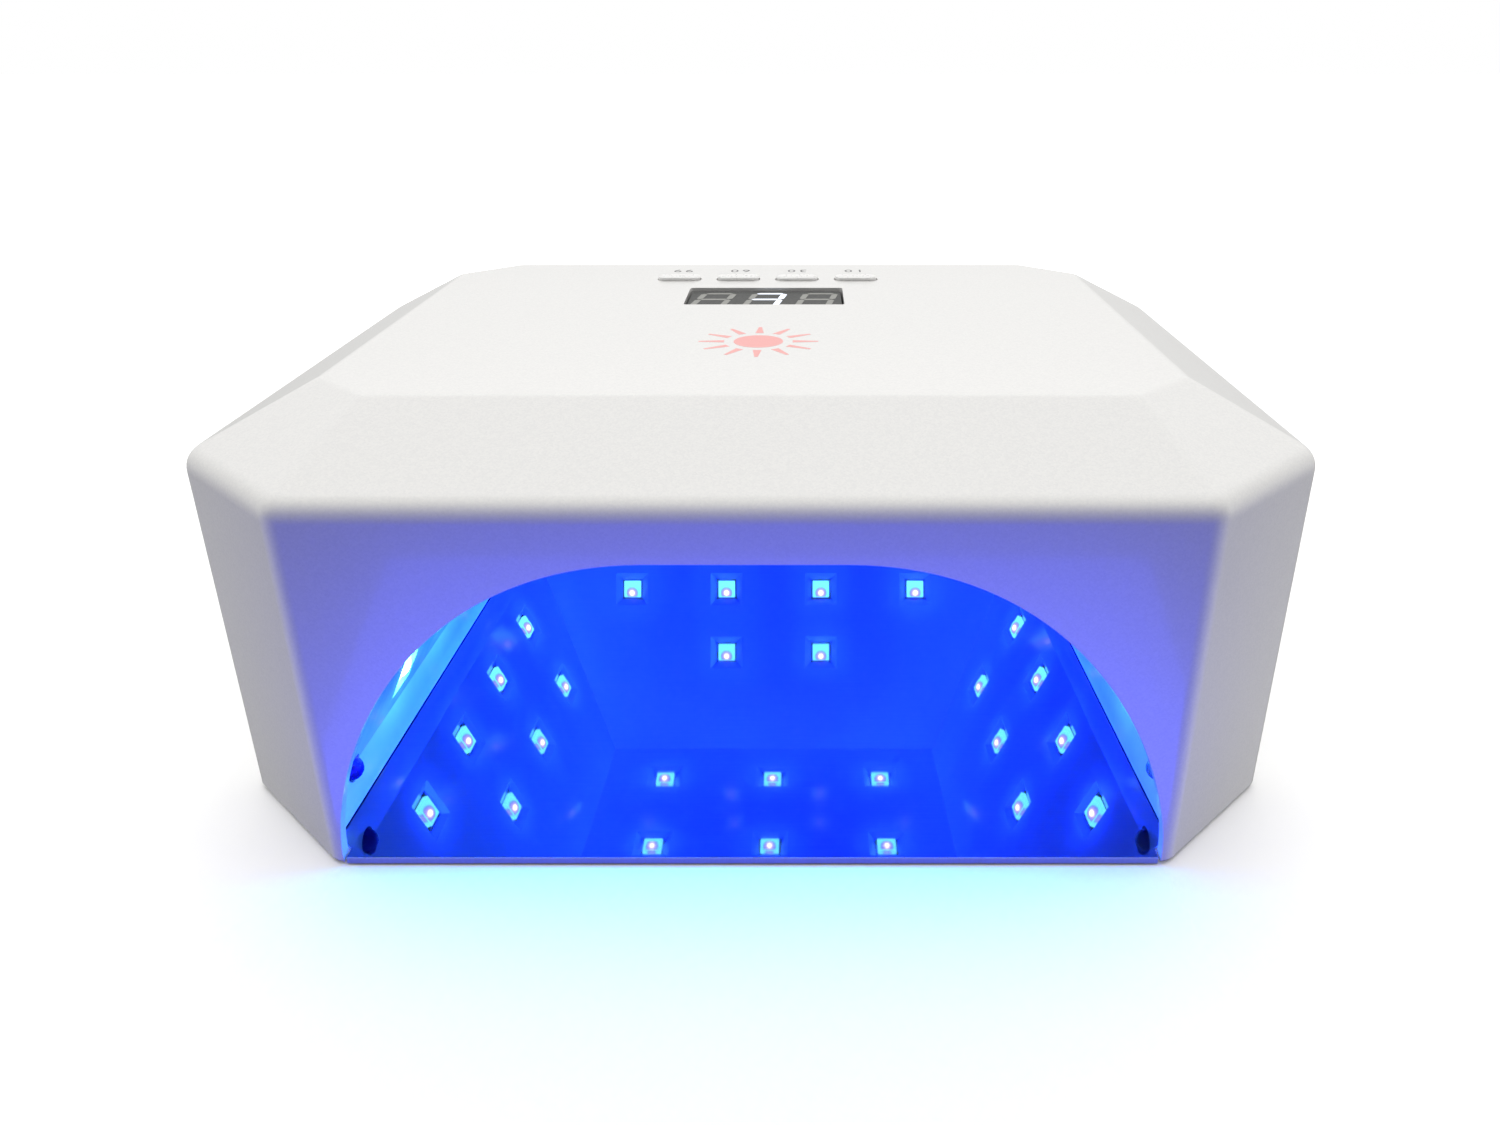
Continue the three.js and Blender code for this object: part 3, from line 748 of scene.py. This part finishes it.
def add_dome(work):
    """The lens: a domed cap with a flat back, on the front of the package."""
    previous = None
    for level in range(LENS_RINGS):
        angle = level / LENS_RINGS * math.pi / 2
        z = LED_THICKNESS + LENS_HEIGHT * math.sin(angle)
        outline = circle(LENS_RADIUS * math.cos(angle), LENS_SIDES)
        current = [work.verts.new((x, y, z)) for x, y in outline]
        if previous is None:
            work.faces.new(list(reversed(current)))
        else:
            for i in range(LENS_SIDES):
                after = (i + 1) % LENS_SIDES
                work.faces.new((previous[i], previous[after], current[after], current[i]))
        previous = current
    tip = work.verts.new((0, 0, LED_THICKNESS + LENS_HEIGHT))
    for i in range(LENS_SIDES):
        work.faces.new((previous[i], previous[(i + 1) % LENS_SIDES], tip))


def led_mesh(painted_glow_edge_material, face_material):
    """One package: a square body whose rounded edges glow cyan as painted light of the LED on its body, and
    a domed lens.
    """
    work = bmesh.new()
    body = bmesh.ops.create_cube(work, size=1)["verts"]
    bmesh.ops.scale(work, vec=(LED_SIDE, LED_SIDE, LED_THICKNESS), verts=body)
    bmesh.ops.translate(work, vec=(0, 0, LED_THICKNESS / 2), verts=body)
    edges = list(work.edges)
    add_dome(work)
    for face in work.faces:
        face.material_index = 1
    rounding = {"offset": LED_EDGE, "segments": 2, "profile": 0.5, "affect": "EDGES", "clamp_overlap": True}
    # The rounded edges take material 0, which paints the LED's cyan light on the package body.
    bmesh.ops.bevel(work, geom=edges, material=0, **rounding)
    for face in work.faces:
        face.smooth = True
    mesh = bpy.data.meshes.new("led_package")
    work.to_mesh(mesh)
    work.free()
    mesh.materials.append(painted_glow_edge_material)
    mesh.materials.append(face_material)
    return mesh


def led_place(node):
    """The package's own frame, from the CAD node: the middle of its back face, with Z into the cavity."""
    wall = node.split("_")[1]
    inward, along = INWARD[wall], ALONG[wall]
    vertices = [v.co for v in frame["nodes"][node].data.vertices]
    depth = min(v.dot(inward) for v in vertices)
    back = [v for v in vertices if v.dot(inward) < depth + LEVEL]
    centre = Vector([(min(v[i] for v in back) + max(v[i] for v in back)) / 2 for i in range(3)])
    up = inward.cross(along)
    turn = Matrix((along, up, inward)).transposed().to_4x4()
    return Matrix.Translation(centre) @ turn


def make_led(node, mesh):
    """A package in its node's place, and a small light just over its lens."""
    piece = bpy.data.objects.new(f"{node}_package", mesh)
    bpy.context.scene.collection.objects.link(piece)
    place = led_place(node)
    piece.matrix_world = place
    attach(piece, "housing")
    piece.visible_diffuse = False
    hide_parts(node)
    light = bpy.data.lights.new(f"{node}_light", "POINT")
    light.shadow_soft_size = LIGHT_RADIUS
    light.energy = LED_POWER
    light.color = LED_COLOR
    lamp = bpy.data.objects.new(f"{node}_light", light)
    bpy.context.scene.collection.objects.link(lamp)
    lamp.matrix_world = place @ Matrix.Translation((0, 0, LIGHT_LIFT))
    lamp.visible_camera = False
    lamp.visible_glossy = False
    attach(lamp, "housing")


# ------------------------------------------------------------------ light and floor
SKY_AXIS = (0, 0.6, 0.8)
SKY_FROM = -0.1
SKY_TO = 0.9
SKY_LOW = 0.02
SKY_HIGH = 1.0
OVERHEAD = 1.27
OVERHEAD_ANGLE = 56  # degrees across
OVERHEAD_TILT = 1  # degrees towards the back
FLOOR_LIFT = (0.06, 0.5)  # the floor's own glow near the lamp and far from it; the weaker glow near the lamp is painted shade around it
FLOOR_LIFT_FROM = 0.12
FLOOR_LIFT_TO = 0.6
FLOOR_REACH = 4
FLOOR_DROP = 0.05 * MM
CYAN = (0.02, 0.8, 1.0)
BLUE = (0.06, 0.085, 1.0)

# Area lights: the place, the point they face, the size and the power, in metres and watts.
# Those that come in pairs are given for the right side.
SIDE_SOFTBOX = ((0.7, 0.03, 0.12), (0, 0, 0.04), (0.4, 0.2), 0.95)
FLOOR_BOUNCE = ((0.2, -0.1, 0.002), (0.09, -0.09, 0.04), (0.14, 0.1), 0.1)
CYAN_SPILL = ((0, -0.07, 0.05), (0, -0.16, 0), (0.12, 0.02), 0.04)
BAND_GLOW = ((0.03, -0.045, 0.035), (-0.078, -0.062, 0.01), (0.02, 0.02), 0.03)
BLUE_GLOW = ((0, -0.15, 0.001), (0, -0.13, 0.05), (0.2, 0.08), 0.175)


def area_light(name, place, target, size, power, color=(1, 1, 1), body=None, glossy=False):
    data = bpy.data.lights.new(name, "AREA")
    data.shape = "RECTANGLE"
    data.size, data.size_y = size
    data.energy = power
    data.color = color
    lamp = bpy.data.objects.new(name, data)
    bpy.context.scene.collection.objects.link(lamp)
    lamp.location = place
    lamp.rotation_euler = (Vector(target) - Vector(place)).to_track_quat("-Z", "Y").to_euler()
    lamp.visible_camera = False
    lamp.visible_glossy = glossy
    if body:
        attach(lamp, body)


def make_world():
    """White where the camera sees it; as light it is brightest above and behind the lamp."""
    world = bpy.data.worlds.new("studio")
    bpy.context.scene.world = world
    world.use_nodes = True
    tree = world.node_tree
    tree.nodes.clear()
    output = tree.nodes.new("ShaderNodeOutputWorld")
    mix = tree.nodes.new("ShaderNodeMixShader")
    seen = tree.nodes.new("ShaderNodeBackground")
    seen.inputs["Color"].default_value = (1, 1, 1, 1)
    light = tree.nodes.new("ShaderNodeBackground")
    light.inputs["Color"].default_value = (1, 0.995, 0.985, 1)
    path = tree.nodes.new("ShaderNodeLightPath")
    direction = tree.nodes.new("ShaderNodeTexCoord")
    toward = tree.nodes.new("ShaderNodeVectorMath")
    toward.operation = "DOT_PRODUCT"
    toward.inputs[1].default_value = Vector(SKY_AXIS).normalized()
    level = tree.nodes.new("ShaderNodeMapRange")
    level.inputs["From Min"].default_value = SKY_FROM
    level.inputs["From Max"].default_value = SKY_TO
    level.inputs["To Min"].default_value = SKY_LOW
    level.inputs["To Max"].default_value = SKY_HIGH
    tree.links.new(direction.outputs["Generated"], toward.inputs[0])
    tree.links.new(toward.outputs["Value"], level.inputs["Value"])
    tree.links.new(level.outputs["Result"], light.inputs["Strength"])
    tree.links.new(path.outputs["Is Camera Ray"], mix.inputs["Fac"])
    tree.links.new(light.outputs["Background"], mix.inputs[1])
    tree.links.new(seen.outputs["Background"], mix.inputs[2])
    tree.links.new(mix.outputs["Shader"], output.inputs["Surface"])


def make_floor():
    """A pale floor that glows a little, more so far from the lamp, so that it runs into the white behind;
    its weaker glow near the lamp is painted shade.
    """
    corners = [(x * FLOOR_REACH, y * FLOOR_REACH, 0) for x, y in [(-1, -1), (1, -1), (1, 1), (-1, 1)]]
    mesh = mesh_from("floor", corners, [(0, 1, 2, 3)])
    floor = bpy.data.objects.new("floor", mesh)
    bpy.context.scene.collection.objects.link(floor)
    floor.location.z = -FLOOR_DROP
    shader = Shader("floor", (0.92, 0.92, 0.92), 0.6)
    shader.surface.inputs["Emission Color"].default_value = (1, 1, 1, 1)
    lift = shader.ramp(shader.distance(), *FLOOR_LIFT, FLOOR_LIFT_FROM, FLOOR_LIFT_TO)
    shader.link(lift, shader.surface.inputs["Emission Strength"])
    mesh.materials.append(shader.material)
    floor.visible_diffuse = False
    floor.visible_glossy = False


def mirrored(point, side):
    return side * point[0], point[1], point[2]


def make_lights():
    """Soft light from overhead and both sides, and the lamp's own light on the table and its front wall."""
    sun = bpy.data.lights.new("overhead", "SUN")
    sun.energy = OVERHEAD
    sun.angle = math.radians(OVERHEAD_ANGLE)
    overhead = bpy.data.objects.new("overhead", sun)
    overhead.rotation_euler.x = -math.radians(OVERHEAD_TILT)
    overhead.visible_glossy = False
    bpy.context.scene.collection.objects.link(overhead)
    for side in (-1, 1):
        for name, setting in [("side_softbox", SIDE_SOFTBOX), ("floor_bounce", FLOOR_BOUNCE)]:
            place, target, size, power = setting
            area_light(f"{name}_{side}", mirrored(place, side), mirrored(target, side), size, power)
    area_light("cyan_spill", *CYAN_SPILL, CYAN, "housing")
    area_light("band_glow", *BAND_GLOW, CYAN, "housing")
    area_light("blue_glow", *BLUE_GLOW, BLUE, "housing", glossy=True)


# ------------------------------------------------------------------ build
white_key = moulded(
    "white_key",
    (0.9, 0.895, 0.88),
    0.3,
    Coat_Weight=0.3,
    Subsurface_Weight=0.6,
    Subsurface_Radius=(1, 1, 1),
    Subsurface_Scale=1.5 * MM,
)
black = moulded("black_plastic", (0.02, 0.02, 0.022), 0.45)
rubber = moulded("rubber", (0.03, 0.03, 0.032), 0.8, 0.00008)
white_board = circuit_board("white_board", (0.82, 0.84, 0.83), (0.9, 0.88, 0.8))
steel = plated_steel()

make_housing(pearl_shell())
fine_copy("inner_reflector", glossy_liner(), 0.3 * MM)
fine_copy("bottom_frame", moulded("frame_plastic", (0.82, 0.82, 0.81), 0.5), 0.3 * MM)
make_tray(mirror_steel(), cut_steel())
fine_copy("control_board", circuit_board("control_board", (0.02, 0.16, 0.07), (0.05, 0.3, 0.14)), 0.1 * MM)
for name in nodes_named("tray_strip") + nodes_named("foot"):
    fine_copy(name, rubber, 0.2 * MM)
for name in nodes_named("key_"):
    fine_copy(name, white_key, 0.7 * MM, 6)
for name in nodes_named("switch_") + ["dc_jack"]:
    fine_copy(name, black, 0.2 * MM)
for name in nodes_named("led_board"):
    fine_copy(name, white_board, 0.1 * MM)
for name in nodes_named("magnet") + nodes_named("screw"):
    fine_copy(name, steel, 0.15 * MM)
epoxy = Shader("clear_epoxy", (0.55, 0.7, 1.0), 0.06, Transmission_Weight=0.7, IOR=1.5)
epoxy.roughness_by(epoxy.noise(500), 0.03, 0.1)
fine_copy("ir_emitter", epoxy.material, 0.2 * MM)
# The receiver is dark epoxy; its strong blue tint is a painted sheen of the lamp's blue light.
fine_copy("ir_receiver", moulded("dark_epoxy", (0.01, 0.01, 0.35), 0.25, 0.00001), 0.2 * MM)

make_display(
    moulded("display_face", (0.1, 0.102, 0.1), 0.6, 0.00002, Specular_IOR_Level=0.2),
    moulded("dark_segment", (0.36, 0.36, 0.34), 0.6, 0.00002, Specular_IOR_Level=0.2),
    glowing("lit_segment", (0.6, 0.6, 0.6), (0.75, 0.82, 1.0), 0.9),
)
grey = ink("grey_ink", (0.09, 0.09, 0.095))
for name in nodes_named("key_"):
    make_label(int(name.split("_")[1].rstrip("s")), key_outline(name)[0], grey)
make_sun(ink("pink_ink", (0.93, 0.42, 0.4)))

package = led_mesh(
    # The package's rounded edges glow cyan: painted light of the LED on its body, which is no lamp itself.
    glowing("led_edge_painted_glow", (0.8, 0.8, 0.78), (0.2, 1.0, 0.96), 7.5),
    # Past the lens, the face glows cyan: painted light of the LED on the package body.
    glowing("led_face", (0.35, 0.3, 0.8), (1.0, 0.9, 1.0), 16, rings=LENS_AND_PAINTED_BODY_GLOW),
)
for wall in INWARD:
    for name in nodes_named(f"led_{wall}_"):
        make_led(name, package)

make_world()
make_floor()
make_lights()
